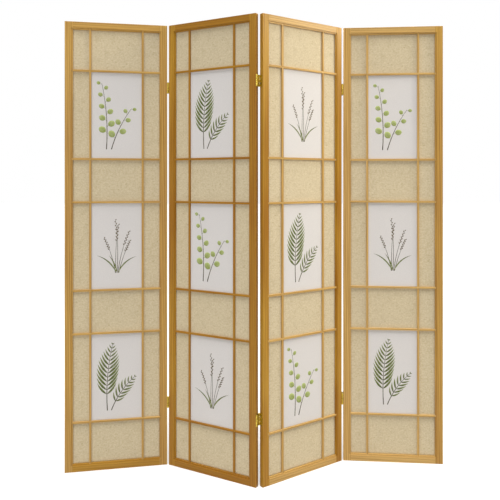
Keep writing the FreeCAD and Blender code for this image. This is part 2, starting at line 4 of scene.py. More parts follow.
import bpy
import numpy as np
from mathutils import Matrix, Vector

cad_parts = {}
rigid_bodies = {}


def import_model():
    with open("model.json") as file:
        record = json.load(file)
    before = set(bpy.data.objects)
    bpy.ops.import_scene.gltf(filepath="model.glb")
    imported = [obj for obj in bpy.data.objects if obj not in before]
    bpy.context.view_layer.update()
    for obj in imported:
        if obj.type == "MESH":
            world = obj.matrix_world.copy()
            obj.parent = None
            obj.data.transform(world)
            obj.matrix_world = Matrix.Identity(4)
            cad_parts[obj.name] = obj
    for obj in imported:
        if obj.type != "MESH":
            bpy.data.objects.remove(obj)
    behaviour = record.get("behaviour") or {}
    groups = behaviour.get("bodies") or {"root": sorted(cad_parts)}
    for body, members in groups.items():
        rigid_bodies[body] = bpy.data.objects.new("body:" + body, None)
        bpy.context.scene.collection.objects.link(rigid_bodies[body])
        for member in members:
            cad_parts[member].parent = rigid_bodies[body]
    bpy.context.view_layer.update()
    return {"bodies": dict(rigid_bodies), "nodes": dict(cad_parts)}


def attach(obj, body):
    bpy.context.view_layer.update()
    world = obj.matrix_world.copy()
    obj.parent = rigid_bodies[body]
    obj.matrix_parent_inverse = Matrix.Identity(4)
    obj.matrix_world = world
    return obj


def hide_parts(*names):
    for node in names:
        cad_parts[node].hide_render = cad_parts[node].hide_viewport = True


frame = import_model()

# Looks of a folding room divider: four pine lattice panels with fibre cloth, printed card panes and
# brass hinges. Lengths are in metres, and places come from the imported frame. In a panel's own frame
# X runs to its right, Y to its back and Z up, from the middle of its cloth at floor height.

bl_info = {
    "name": "Folding room divider looks",
    "version": (1, 0, 0),
    "blender": (4, 5, 0),
    "location": "3D view > Sidebar > Divider",
    "description": "Finishes a folding room divider in pine, fibre cloth, printed card and brass",
    "category": "Object",
}

MM = 0.001

# The wooden members of a panel, by the end of a node's name, each with the index of its grain's direction
# in the panel's own frame.
GRAIN_AXIS = {"left_stile": 2, "right_stile": 2, "top_rail": 0, "bottom_rail": 0,
              "uprights": 2, "crossbars": 0}
# How pale each panel's members are, in that order: -1 is heartwood, 0 the plain honey tone and 1 sapwood.
# The values are partly the planks' own tone and partly painted light: members that catch more of the
# lamps are made paler, and those in shade, as all of panel 2, darker.
PALENESS_AND_PAINTED_LIGHT = {
    "panel_1": (0.5, 0.5, 0.5, 0.1, 0.7, 0.7),
    "panel_2": (-0.1, -0.4, -0.6, -0.6, -0.4, -0.5),
    "panel_3": (0, 0, 0.7, 0.8, 0.7, 0.8),
    "panel_4": (0.8, 0.4, 1, 1, 0.9, 1),
}
ROWS = ("bottom", "middle", "top")
# Most of a pane that its plant takes up, across and up.
PRINT_SHARE = np.array((0.8, 0.88))
# Angles that give each cell of the cloth a swelling of its own: for a step of column, of row and of panel.
SWELL_STEPS = (2.4, 1.7, 5.1)
# A board's paler and darker stretches, and the brass's rolling marks, are this many times as long as wide.
BOARD_STRETCH = 8
MARK_STRETCH = 40
# Roughness of bright stamped plates and of bright turned pins and screws, and how much more dull brass has.
PLATE_ROUGHNESS = 0.28
TURNED_ROUGHNESS = 0.22
DULL_ROUGHNESS = 0.2

# Main stems of each plant: side step and height in millimetres, lean and bend in radians.
FRONDS = ((0, 280, 1.64, -0.3), (16, 170, 1.2, -0.5))
GRASS_STEMS = ((-6, 265, 1.62, -0.2), (0, 290, 1.50, 0.2), (5, 235, 1.46, -0.3), (-9, 200, 1.72, 0.3),
               (9, 185, 1.34, -0.2))
BRANCHES = ((0, 275, 1.5, 0.28), (20, 190, 1.3, -0.35))
# Curl of a blade that looks straight, because an arc's curl can't be 0.
NEARLY_STRAIGHT = 0.05

# Half the floor's width.
FLOOR_REACH = 30
# Place, target and width of each lamp, by the name of its power among the settings.
LAMPS = {
    "key": ((2.3, -0.3, 2.6), (0.2, 0, 1.3), 0.9),
    "fill": ((-1.2, -2.7, 1.9), (-0.2, 0, 1.0), 1.6),
    "behind": ((-0.6, 3, 2.4), (0, 0, 0.9), 1.6),
}
# The skylight comes from above, a little from the front and the left, and is this wide.
SKY_TURN = (math.radians(14), 0, math.radians(-10))
SKY_WIDTH = math.radians(40)

# Socket places of a colour mix.
MIX_FACTOR, MIX_FIRST, MIX_SECOND, MIX_RESULT = 0, 6, 7, 2
# A diagonal wave at scale 1 has ten radians to a unit, so this scale gives one band to a unit.
BAND_SCALE = 2 * math.pi / 10
# A wave along one axis at scale 1 has twenty radians to a unit.
THREAD_SCALE = 2 * math.pi / 20


def linear(code):
    """The linear colour of an sRGB hex value: each share over 0.04045 is ((c + 0.055) / 1.055) ^ 2.4."""
    shares = np.array([int(code[place:place + 2], 16) for place in (1, 3, 5)]) / 255
    curve = ((shares + 0.055) / 1.055) ** 2.4
    return tuple(float(c) for c in np.where(shares > 0.04045, curve, shares / 12.92))


def colour(name, code, description):
    """A colour setting with its sRGB hex default."""
    return bpy.props.FloatVectorProperty(name=name, description=description, subtype="COLOR", size=3,
                                         min=0, max=1, default=linear(code))


def length(name, millimetres, description):
    """A length setting with its default in millimetres."""
    return bpy.props.FloatProperty(name=name, description=description, unit="LENGTH", min=0,
                                   precision=5, default=millimetres * MM)


def share(name, value, description):
    """A setting from 0 to 1."""
    return bpy.props.FloatProperty(name=name, description=description, subtype="FACTOR", min=0, max=1,
                                   default=value)


class PineSettings(bpy.types.PropertyGroup):
    """Finish of the frames and lattices."""

    earlywood: colour("Earlywood", "#C49632", "Colour of the wide pale part of a growth ring")
    latewood: colour("Latewood", "#7E5208", "Colour of the narrow dark part of a growth ring")
    heart: colour("Heart", "#98600C", "Colour of the warmer stretches of a board")
    sapwood: colour("Sapwood", "#D6B06C", "Colour of the palest planks")
    ring_width: length("Ring width", 9, "Growth ring to growth ring on a board's face")
    ring_run: length("Ring run", 700, "Length over which a ring wanders by its own width")
    fibre_width: length("Fibre width", 2.2, "Width of a streak of fibres")
    fibre_run: length("Fibre run", 240, "Length of a streak of fibres")
    board_run: length("Board run", 420, "Length of the paler and darker stretches of a board")
    gloss: share("Gloss", 0.25, "Specular level of the satin lacquer")


class ClothSettings(bpy.types.PropertyGroup):
    """Fibre cloth between the lattices."""

    ground: colour("Ground", "#D2C2A0", "Main colour of the cloth")
    pale: colour("Pale fibres", "#E9DDC2", "Colour of the pale slubs")
    fleck: colour("Flecks", "#A8946A", "Colour of the dark flecks")
    thread: length("Thread", 1.6, "Thread to thread, both ways")
    slub: length("Slub", 7, "Width of the pale and dark slubs")
    fleck_spacing: length("Fleck spacing", 11, "Fleck to fleck")
    mottle: length("Mottle", 32, "Width of the denser patches")
    thickness: length("Thickness", 0.6, "Thickness of the cloth")
    pillow: length("Pillow", 0.8, "How far the cloth stands out in a cell of the lattice")
    grid_step: length("Grid step", 8, "Length of a face of the mesh")


class PrintSettings(bpy.types.PropertyGroup):
    """Card panes and the plants printed on them."""

    card: colour("Card", "#DDD9D6", "Colour of the uncoated card")
    card_shade: colour("Card shade", "#D0CCCA", "Colour of its denser fibres")
    stem: colour("Stem", "#453E26", "Ink of stems")
    dark_leaf: colour("Dark leaf", "#38401E", "Ink of dark leaves")
    mid_leaf: colour("Leaf", "#7F8C42", "Ink of leaves")
    pale_leaf: colour("Pale leaf", "#B4C07A", "Ink of pale leaves")
    seed: colour("Seed", "#6B542C", "Ink of seeds")
    fibre: length("Card fibre", 1.8, "Width of the card's fibres")
    cloud: length("Ink cloud", 7.2, "Width of the paler patches of ink")
    film: length("Ink film", 0.04, "Thickness of the ink")


class BrassSettings(bpy.types.PropertyGroup):
    """Hinges, pins and screws."""

    bright: colour("Bright brass", "#DCC256", "Colour where the brass is rubbed bright")
    dull: colour("Dull brass", "#7A6220", "Colour where the brass has dulled")
    patch: length("Patch", 4, "Width of the dull patches")
    scratch: length("Scratch", 0.35, "Width of the fine rolling marks")


class StudioSettings(bpy.types.PropertyGroup):
    """Floor, light and camera."""

    floor: colour("Floor", "#BDBCBA", "Colour of the floor")
    warm: colour("Warm light", "#FFF7E6", "Colour of the lamp on the right")
    ambient: bpy.props.FloatProperty(name="Ambient", description="Strength of the light from all round",
                                     min=0, default=0.18)
    key: bpy.props.FloatProperty(name="Key", description="Power of the lamp on the right", unit="POWER",
                                 min=0, default=46)
    top: bpy.props.FloatProperty(name="Top", description="Watts per square metre of the skylight", min=0,
                                 default=3.8)
    fill: bpy.props.FloatProperty(name="Fill", description="Power of the lamp by the camera", unit="POWER",
                                  min=0, default=13)
    behind: bpy.props.FloatProperty(name="Behind", description="Power of the lamp behind the divider",
                                    unit="POWER", min=0, default=40)
    lift: share("Floor lift", 0.42, "Light that the floor shows to the camera alone")
    camera_height: length("Camera height", 1162.6, "Height of the camera, which looks level")
    camera_distance: length("Camera distance", 2482.4, "Camera to the middle of the divider")
    camera_side: bpy.props.FloatProperty(name="Camera side", description="Camera to the right of the middle",
                                         unit="LENGTH", default=-26.3 * MM)
    lens: bpy.props.FloatProperty(name="Lens", description="Focal length in millimetres", min=1,
                                  default=44.73)
    rise: bpy.props.FloatProperty(name="Rise", description="Shift of the view, in widths of the picture",
                                  default=-0.1369)


def corners_of(node):
    """A node's own vertices, each once."""
    mesh = frame["nodes"][node].data
    points = np.empty(3 * len(mesh.vertices))
    mesh.vertices.foreach_get("co", points)
    return np.unique(points.reshape(-1, 3).round(6), axis=0)


def groups(values, gap):
    """Lowest and highest of each run of values whose neighbours are within a gap of each other."""
    ordered = np.unique(values)
    runs = np.split(ordered, np.flatnonzero(np.diff(ordered) > gap) + 1)
    return [(run[0], run[-1]) for run in runs]


class PanelFrame:
    """Where a panel stands: the middle of its cloth, the directions of its width and its back, its turn."""

    def __init__(self, body):
        self.body = body
        plan = corners_of(body + "_fabric_sheet")[:, :2]
        self.middle = (plan.min(axis=0) + plan.max(axis=0)) / 2
        longest = np.linalg.svd(plan - self.middle)[2][0]
        self.right = longest * np.sign(longest[0])
        self.back = np.array((-self.right[1], self.right[0]))
        self.turn = math.atan2(self.right[1], self.right[0])

    def own(self, part):
        """Vertices of one of the panel's nodes in the panel's own frame."""
        points = corners_of(self.body + "_" + part)
        flat = points[:, :2] - self.middle
        return np.column_stack((flat @ self.right, flat @ self.back, points[:, 2]))

    def world(self, x, y, z):
        """Points of the panel's own frame in the shared frame."""
        plan = self.middle + np.multiply.outer(x, self.right) + np.multiply.outer(y, self.back)
        return np.concatenate((plan, np.asarray(z)[..., None]), axis=-1)


panels = [PanelFrame(body) for body in sorted(frame["bodies"]) if body.startswith("panel")]


def add(tree, kind, inputs=(), **settings):
    """Adds a node, sets its settings, and sets or links its inputs, which are named or numbered."""
    made = tree.nodes.new(kind)
    for name, value in settings.items():
        setattr(made, name, value)
    for place, value in dict(inputs).items():
        if isinstance(value, bpy.types.NodeSocket):
            tree.links.new(value, made.inputs[place])
        else:
            made.inputs[place].default_value = value
    return made


def shaded(name, **uniform):
    """A new material's node tree and its surface node, with the values that are the same all over."""
    material = bpy.data.materials.new(name)
    material.use_nodes = True
    surface = material.node_tree.nodes["Principled BSDF"]
    for socket, value in uniform.items():
        surface.inputs[socket.replace("_", " ")].default_value = value
    return material, material.node_tree, surface


def opaque(tone):
    """A colour setting as a node's colour."""
    return (*tone, 1)


def honey_pine(name, panel, axis, paleness_and_painted_light):
    """Pine, planed, stained honey and given a satin lacquer: growth rings run along each member as
    pale bands with dark edges, fine fibres streak it, and boards change tone along their length. Pale
    planks lean towards sapwood, and rich ones towards heartwood. The paleness is partly painted light
    too: members that catch more light are made paler and members in shade darker."""
    finish = bpy.context.scene.divider_pine

    def plank(tone):
        """A tone of the wood, mixed with sapwood or heartwood by the member's paleness, which is partly
        painted light and shade.
        """
        goal = finish.sapwood if paleness_and_painted_light > 0 else finish.heart
        return opaque(np.array(tone) * (1 - abs(paleness_and_painted_light)) + np.array(goal) * abs(paleness_and_painted_light))

    material, tree, surface = shaded(name, Specular_IOR_Level=finish.gloss)
    place = add(tree, "ShaderNodeTexCoord").outputs["Object"]
    stand = (*panel.middle, 0)
    turn = (0, 0, panel.turn)

    def along_grain(width, run):
        """Places along the grain, in cells of a width across it and a run along it."""
        cell = [width] * 3
        cell[axis] = run
        turned = {"Vector": place, "Location": stand, "Rotation": turn, "Scale": cell}
        return add(tree, "ShaderNodeMapping", turned, vector_type="TEXTURE").outputs[0]

    rings = add(tree, "ShaderNodeTexWave",
                {"Vector": along_grain(finish.ring_width, finish.ring_run), "Scale": BAND_SCALE,
                 "Distortion": 5, "Detail": 3, "Detail Scale": 0.7},
                wave_type="BANDS", bands_direction="DIAGONAL", wave_profile="SAW").outputs["Fac"]
    late = add(tree, "ShaderNodeMapRange",
               {"Value": rings, "From Min": 0.3, "From Max": 1, "To Max": 0.4},
               interpolation_type="SMOOTHSTEP").outputs[0]
    fibres = add(tree, "ShaderNodeTexNoise",
                 {"Vector": along_grain(finish.fibre_width, finish.fibre_run), "Scale": 1, "Detail": 4,
                  "Roughness": 0.65}).outputs["Fac"]
    streaks = add(tree, "ShaderNodeMapRange",
                  {"Value": fibres, "From Min": 0.42, "From Max": 0.75, "To Max": 0.6}).outputs[0]
    boards = add(tree, "ShaderNodeTexNoise",
                 {"Vector": along_grain(finish.board_run / BOARD_STRETCH, finish.board_run),
                  "Scale": 1, "Detail": 1}).outputs["Fac"]
    warm = add(tree, "ShaderNodeMapRange",
               {"Value": boards, "From Min": 0.35, "From Max": 0.7, "To Max": 0.8}).outputs[0]
    ground = add(tree, "ShaderNodeMix",
                 {MIX_FACTOR: warm, MIX_FIRST: plank(finish.earlywood), MIX_SECOND: plank(finish.heart)},
                 data_type="RGBA").outputs[MIX_RESULT]
    ringed = add(tree, "ShaderNodeMix",
                 {MIX_FACTOR: late, MIX_FIRST: ground, MIX_SECOND: opaque(finish.latewood)},
                 data_type="RGBA").outputs[MIX_RESULT]
    wood = add(tree, "ShaderNodeMix",
               {MIX_FACTOR: streaks, MIX_FIRST: ringed, MIX_SECOND: opaque(finish.latewood)},
               data_type="RGBA").outputs[MIX_RESULT]
    tree.links.new(wood, surface.inputs["Base Color"])
    satin = add(tree, "ShaderNodeMapRange",
                {"Value": fibres, "To Min": 0.3, "To Max": 0.42}).outputs[0]
    tree.links.new(satin, surface.inputs["Roughness"])
    grain = add(tree, "ShaderNodeBump", {"Height": fibres, "Strength": 0.6, "Distance": 0.5 * MM})
    tree.links.new(grain.outputs[0], surface.inputs["Normal"])
    return material


def fibre_cloth():
    """Plain-woven plant fibre: uneven threads both ways, pale slubs, and dark flecks of bark. The threads
    are as fine as the real ones; the slubs and flecks are what shows from a step away."""
    finish = bpy.context.scene.divider_cloth
    material, tree, surface = shaded("woven_fibre_cloth", Roughness=0.92, Specular_IOR_Level=0.2,
                                     Sheen_Weight=0.15, Sheen_Roughness=0.5)
    flat = add(tree, "ShaderNodeUVMap", uv_map="cloth").outputs[0]

    def scaled(width, height):
        """Places on the flat cloth, in cells of a width and a height."""
        scale = (1 / width, 1 / height, 1)
        return add(tree, "ShaderNodeMapping", {"Vector": flat, "Scale": scale}).outputs[0]

    slubs = add(tree, "ShaderNodeTexNoise",
                {"Vector": scaled(finish.slub, finish.slub), "Scale": 1, "Detail": 4,
                 "Roughness": 0.7}).outputs["Fac"]
    pale = add(tree, "ShaderNodeMapRange",
               {"Value": slubs, "From Min": 0.42, "From Max": 0.72, "To Max": 0.9}).outputs[0]
    specks = add(tree, "ShaderNodeTexNoise",
                 {"Vector": scaled(finish.fleck_spacing, finish.fleck_spacing / 2), "Scale": 1, "Detail": 3,
                  "Roughness": 0.6}).outputs["Fac"]
    flecks = add(tree, "ShaderNodeMapRange",
                 {"Value": specks, "From Min": 0.6, "From Max": 0.72, "To Max": 0.7}).outputs[0]
    heights = []
    for direction in ("X", "Y"):
        uneven = add(tree, "ShaderNodeTexWave",
                     {"Vector": scaled(finish.thread, finish.thread), "Scale": THREAD_SCALE,
                      "Distortion": 1.2, "Detail": 1, "Detail Scale": 0.3},
                     wave_type="BANDS", bands_direction=direction).outputs["Fac"]
        heights.append(uneven)
    weave = add(tree, "ShaderNodeMath", {0: heights[0], 1: heights[1]}, operation="MULTIPLY").outputs[0]
    patches = add(tree, "ShaderNodeTexNoise",
                  {"Vector": scaled(finish.mottle, finish.mottle), "Scale": 1, "Detail": 2}).outputs["Fac"]
    dense = add(tree, "ShaderNodeMapRange",
                {"Value": patches, "From Min": 0.5, "From Max": 0.75, "To Max": 0.2}).outputs[0]
    ground = add(tree, "ShaderNodeMix",
                 {MIX_FACTOR: pale, MIX_FIRST: opaque(finish.ground), MIX_SECOND: opaque(finish.pale)},
                 data_type="RGBA").outputs[MIX_RESULT]
    mottled = add(tree, "ShaderNodeMix",
                  {MIX_FACTOR: dense, MIX_FIRST: ground, MIX_SECOND: opaque(finish.fleck)},
                  data_type="RGBA").outputs[MIX_RESULT]
    flecked = add(tree, "ShaderNodeMix",
                  {MIX_FACTOR: flecks, MIX_FIRST: mottled, MIX_SECOND: opaque(finish.fleck)},
                  data_type="RGBA").outputs[MIX_RESULT]
    # Painted shade: the cloth darkens towards the fleck colour in the gaps between the threads.
    painted_thread_shade = add(tree, "ShaderNodeMapRange",
               {"Value": weave, "To Min": 0.22, "To Max": 0}).outputs[0]
    woven = add(tree, "ShaderNodeMix",
                {MIX_FACTOR: painted_thread_shade, MIX_FIRST: flecked, MIX_SECOND: opaque(finish.fleck)},
                data_type="RGBA").outputs[MIX_RESULT]
    tree.links.new(woven, surface.inputs["Base Color"])
    rough = add(tree, "ShaderNodeMath", {0: weave, 1: slubs}, operation="ADD").outputs[0]
    threads = add(tree, "ShaderNodeBump", {"Height": rough, "Strength": 0.5, "Distance": 0.3 * MM})
    tree.links.new(threads.outputs[0], surface.inputs["Normal"])
    return material


def uncoated_card():
    """Uncoated printing card: matt and greyish white, with a soft tooth of pressed fibres."""
    finish = bpy.context.scene.divider_print
    material, tree, surface = shaded("uncoated_card", Roughness=0.85, Specular_IOR_Level=0.3)
    place = add(tree, "ShaderNodeTexCoord").outputs["Object"]
    tooth = add(tree, "ShaderNodeTexNoise",
                {"Vector": place, "Scale": 1 / finish.fibre, "Detail": 4, "Roughness": 0.7}).outputs["Fac"]
    dense = add(tree, "ShaderNodeMapRange",
                {"Value": tooth, "From Min": 0.35, "From Max": 0.75}).outputs[0]
    card = add(tree, "ShaderNodeMix",
               {MIX_FACTOR: dense, MIX_FIRST: opaque(finish.card), MIX_SECOND: opaque(finish.card_shade)},
               data_type="RGBA").outputs[MIX_RESULT]
    tree.links.new(card, surface.inputs["Base Color"])
    relief = add(tree, "ShaderNodeBump", {"Height": tooth, "Strength": 0.2, "Distance": 0.1 * MM})
    tree.links.new(relief.outputs[0], surface.inputs["Normal"])
    return material


def printed_ink():
    """Water-based printing ink on card: matt, thinner and paler in cloudy patches."""
    finish = bpy.context.scene.divider_print
    material, tree, surface = shaded("printed_ink", Roughness=0.8, Specular_IOR_Level=0.3)
    ink = add(tree, "ShaderNodeAttribute", attribute_name="ink").outputs["Color"]
    place = add(tree, "ShaderNodeTexCoord").outputs["Object"]
    clouds = add(tree, "ShaderNodeTexNoise",
                 {"Vector": place, "Scale": 1 / finish.cloud, "Detail": 3}).outputs["Fac"]
    thin = add(tree, "ShaderNodeMapRange",
               {"Value": clouds, "From Min": 0.45, "From Max": 0.75, "To Max": 0.2}).outputs[0]
    printed = add(tree, "ShaderNodeMix",
                  {MIX_FACTOR: thin, MIX_FIRST: ink, MIX_SECOND: opaque(finish.card)},
                  data_type="RGBA").outputs[MIX_RESULT]
    tree.links.new(printed, surface.inputs["Base Color"])
    return material


def rolled_brass(name, roughness):
    """Rolled and stamped brass: warm and bright where it is rubbed, dull in patches, with fine level
    rolling marks that spread its highlights."""
    finish = bpy.context.scene.divider_brass
    material, tree, surface = shaded(name, Metallic=1)
    place = add(tree, "ShaderNodeTexCoord").outputs["Object"]
    patches = add(tree, "ShaderNodeTexNoise",
                  {"Vector": place, "Scale": 1 / finish.patch, "Detail": 3}).outputs["Fac"]
    dulled = add(tree, "ShaderNodeMapRange",
                 {"Value": patches, "From Min": 0.38, "From Max": 0.68}).outputs[0]
    brass = add(tree, "ShaderNodeMix",
                {MIX_FACTOR: dulled, MIX_FIRST: opaque(finish.bright), MIX_SECOND: opaque(finish.dull)},
                data_type="RGBA").outputs[MIX_RESULT]
    tree.links.new(brass, surface.inputs["Base Color"])
    fine = 1 / finish.scratch
    level = {"Vector": place, "Scale": (fine / MARK_STRETCH, fine / MARK_STRETCH, fine)}
    marks = add(tree, "ShaderNodeTexNoise",
                {"Vector": add(tree, "ShaderNodeMapping", level).outputs[0], "Scale": 1,
                 "Detail": 2}).outputs["Fac"]
    satin = add(tree, "ShaderNodeMapRange",
                {"Value": dulled, "To Min": roughness, "To Max": roughness + DULL_ROUGHNESS}).outputs[0]
    tree.links.new(satin, surface.inputs["Roughness"])
    relief = add(tree, "ShaderNodeBump", {"Height": marks, "Strength": 0.2, "Distance": 0.05 * MM})
    tree.links.new(relief.outputs[0], surface.inputs["Normal"])
    return material


def dress(node, material):
    """Gives a CAD node its one material."""
    slots = frame["nodes"][node].data.materials
    slots.clear()
    slots.append(material)


def grid_faces(count, rows, columns):
    """Quads of equal grids stored one after another, each row by row, seen so that rows run up and
    columns to the right."""
    start = np.arange(count)[:, None, None] * rows * columns
    row = np.arange(rows - 1)[None, :, None] * columns
    first = start + row + np.arange(columns - 1)[None, None, :]
    around = (first, first + 1, first + columns + 1, first + columns)
    return np.stack(around, axis=-1).reshape(-1, 4)


def new_piece(name, points, faces, body, material):
    """A mesh piece at the origin that rides on a body and takes its finish from a slot."""
    mesh = bpy.data.meshes.new(name)
    mesh.from_pydata(points.reshape(-1, 3).tolist(), [], faces.tolist())
    mesh.materials.append(material)
    mesh.shade_smooth()
    piece = bpy.data.objects.new(name, mesh)
    bpy.context.scene.collection.objects.link(piece)
    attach(piece, body)
    return piece


def thicken(piece, thickness, offset):
    """Gives a piece's surface its thickness."""
    wall = piece.modifiers.new("thickness", "SOLIDIFY")
    wall.thickness = thickness
    wall.offset = offset


def held_lines(panel):
    """Where the lattice and the frame hold a panel's cloth: across its width, and up its height."""
    bar_gap = 20 * MM
    columns = [(low + high) / 2 for low, high in groups(panel.own("front_uprights")[:, 0], bar_gap)]
    rows = [(low + high) / 2 for low, high in groups(panel.own("front_crossbars")[:, 2], bar_gap)]
    left = panel.own("left_stile")[:, 0].max()
    right = panel.own("right_stile")[:, 0].min()
    low = panel.own("bottom_rail")[:, 2].max()
    high = panel.own("top_rail")[:, 2].min()
    return np.array((left, *columns, right)), np.array((low, *rows, high))


def pillowed(x, z, columns, rows, height, number):
    """Depth of a stretched cloth: in each cell of the lattice it stands out as
    sin(pi s) sin(pi t) times a height of its own, with s and t from 0 to 1 across the cell. Behind the
    panes, in the tall cells of the middle column, it stands out to the back."""
    column = np.clip(np.searchsorted(columns, x) - 1, 0, len(columns) - 2)
    row = np.clip(np.searchsorted(rows, z) - 1, 0, len(rows) - 2)
    s = np.clip((x - columns[column]) / (columns[column + 1] - columns[column]), 0, 1)
    t = np.clip((z - rows[row]) / (rows[row + 1] - rows[row]), 0, 1)
    column_step, row_step, panel_step = SWELL_STEPS
    own_height = height * np.cos(column_step * column + row_step * row + panel_step * number)
    behind_pane = (column == 1) & (row % 2 == 1)
    own_height = np.where(behind_pane, np.abs(own_height), own_height)
    return own_height * np.sin(math.pi * s) * np.sin(math.pi * t)


def stretch_cloth(panel, number, material):
    """The cloth of one panel, from groove to groove: a flat grid, pillowed between the bars."""
    settings = bpy.context.scene.divider_cloth
    space = panel.own("fabric_sheet")
    (left, _, low), (right, _, high) = space.min(axis=0), space.max(axis=0)
    across = np.linspace(left, right, round((right - left) / settings.grid_step) + 1)
    up = np.linspace(low, high, round((high - low) / settings.grid_step) + 1)
    x, z = np.meshgrid(across, up)
    y = pillowed(x, z, *held_lines(panel), settings.pillow, number)
    faces = grid_faces(1, len(up), len(across))
    piece = new_piece(panel.body + "_cloth", panel.world(x, y, z), faces, panel.body, material)
    flat = np.stack((x, z), axis=-1).reshape(-1, 2)
    piece.data.uv_layers.new(name="cloth").data.foreach_set("uv", flat[faces].ravel())
    thicken(piece, settings.thickness, 0)
    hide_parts(panel.body + "_fabric_sheet")


def arc(base, heading, reach, curl, s):
    """Points and headings at shares s of circular arcs, each from a base in a heading, of a length and
    turning steadily by a curl over it: the heading is h + c s, and the point is off the base by
    length / c times (sin(h + c s) - sin h) across and (cos h - cos(h + c s)) up."""
    turn = heading + curl * s
    x = base[0] + reach / curl * (np.sin(turn) - np.sin(heading))
    z = base[1] - reach / curl * (np.cos(turn) - np.cos(heading))
    return x, z, turn


class Ink:
    """Flat printed blades, gathered as grids of points with a colour at each point."""

    # Points along and across a blade, and the share of its shading that runs along it.
    STEPS = 9
    ACROSS = 5
    ALONG = 0.75

    def __init__(self):
        self.points = []
        self.colours = []

    def draw(self, base, heading, reach, width, curl, outline, root, tip):
        """Draws blades along arcs: s runs along a blade and t across it from -1 to 1, and half the width
        at s is the outline's share of it. The ink goes from the root's colour to the tip's, mostly along
        the blade and for the rest out to its edges."""
        s = np.linspace(0, 1, self.STEPS)[None, :, None]
        t = np.linspace(-1, 1, self.ACROSS)[None, None, :]
        each = np.broadcast_arrays(*base, heading, reach, width, curl)
        from_x, from_z, heading, reach, width, curl = [np.atleast_1d(part)[:, None, None] for part in each]
        x, z, turn = arc((from_x, from_z), heading, reach, curl, s)
        half = width / 2 * outline(s)
        x = x - half * np.sin(turn) * t
        z = z + half * np.cos(turn) * t
        self.points.append(np.stack((x, z), axis=-1))
        shading = self.ALONG * s + (1 - self.ALONG) * np.abs(t)
        tone = shading[..., None] * np.ones((len(x), 1, 1, 1))
        self.colours.append(np.asarray(root) * (1 - tone) + np.asarray(tip) * tone)


def leaf_outline(s):
    """A pointed leaf, widest before its middle: sin(pi s^0.75)."""
    return np.sin(math.pi * s ** 0.75)


def round_outline(s):
    """A round leaf: the square root of sin(pi s)."""
    return np.sqrt(np.clip(np.sin(math.pi * s), 0, 1))


def stem_outline(s):
    """A stem that thins evenly to a third."""
    return 1 - 2 / 3 * s


def turn_by_turn(count):
    """Sides of leaves that stand turn by turn: 1 and -1."""
    return np.where(np.arange(count) % 2 == 0, 1, -1)


def draw_fern(ink, settings):
    """Two fern fronds: narrow leaflets in pairs along a bent stem, at s from 0 to 1 of its length. A
    leaflet's length goes with sin(pi s^0.8), so the longest are below the middle."""
    stem_width, spacing = 3.8 * MM, 22 * MM
    first, last, spread, curl = 0.24, 0.98, 0.95, 0.55
    longest, shortest, slimness, slimmest = 0.24, 6 * MM, 0.09, 3 * MM
    for side_step, tall, lean, bend in FRONDS:
        base = (side_step * MM, 0)
        tall = tall * MM
        ink.draw(base, lean, tall, stem_width, bend, stem_outline, settings.stem, settings.dark_leaf)
        s = np.linspace(first, last, round(tall / spacing))
        x, z, turn = arc(base, lean, tall, bend, s)
        reach = tall * longest * np.sin(math.pi * s ** 0.8) + shortest
        width = slimness * reach + slimmest
        for side in (1, -1):
            ink.draw((x, z), turn + side * spread, reach, width, -side * curl, leaf_outline,
                     settings.dark_leaf, settings.mid_leaf)


def draw_grass(ink, settings):
    """A tuft of grass: slender stems that fan out, each with a head of seeds, and long bent blades."""
    stem_width, blade_width = 3.4 * MM, 7 * MM
    seeds, lowest, spread, curl = 10, 0.66, 0.5, 0.3
    seed_length, seed_width = 16 * MM, 5.4 * MM
    for side_step, tall, lean, bend in GRASS_STEMS:
        base = (side_step * MM, 0)
        tall = tall * MM
        ink.draw(base, lean, tall, stem_width, bend, stem_outline, settings.stem, settings.stem)
        s = np.linspace(lowest, 1, seeds)
        x, z, turn = arc(base, lean, tall, bend, s)
        side = turn_by_turn(seeds)
        reach = seed_length * (1.25 - 0.6 * s)
        ink.draw((x, z), turn + side * spread, reach, seed_width, side * curl, leaf_outline,
                 settings.stem, settings.seed)
    base = (np.array((-4, 6, 0)) * MM, 0)
    lean = np.array((1.95, 1.2, 1.75))
    reach = np.array((150, 140, 110)) * MM
    bend = np.array((0.9, -0.95, 0.5))
    ink.draw(base, lean, reach, blade_width, bend, leaf_outline, settings.mid_leaf, settings.dark_leaf)


def draw_round_leaves(ink, settings):
    """Two branches of round leaves on short stalks, turn by turn on either side, smaller to the tip."""
    stem_width, spacing = 3.8 * MM, 30 * MM
    first, last, spread, curl = 0.25, 0.98, 0.95, 0.2
    stalk, stalk_width, leaf_length, roundness = 7 * MM, 1.6 * MM, 34 * MM, 0.82
    for side_step, tall, lean, bend in BRANCHES:
        base = (side_step * MM, 0)
        tall = tall * MM
        ink.draw(base, lean, tall, stem_width, bend, stem_outline, settings.stem, settings.stem)
        s = np.linspace(first, last, round(tall / spacing))
        x, z, turn = arc(base, lean, tall, bend, s)
        side = turn_by_turn(len(s))
        heading = turn + side * spread
        ink.draw((x, z), heading, stalk, stalk_width, NEARLY_STRAIGHT, stem_outline, settings.stem,
                 settings.mid_leaf)
        stalk_end = (x + stalk * np.cos(heading), z + stalk * np.sin(heading))
        size = leaf_length * (1.1 - 0.62 * s)
        ink.draw(stalk_end, heading, size, roundness * size, side * curl, round_outline,
                 settings.mid_leaf, settings.pale_leaf)


PLANTS = (draw_fern, draw_grass, draw_round_leaves)


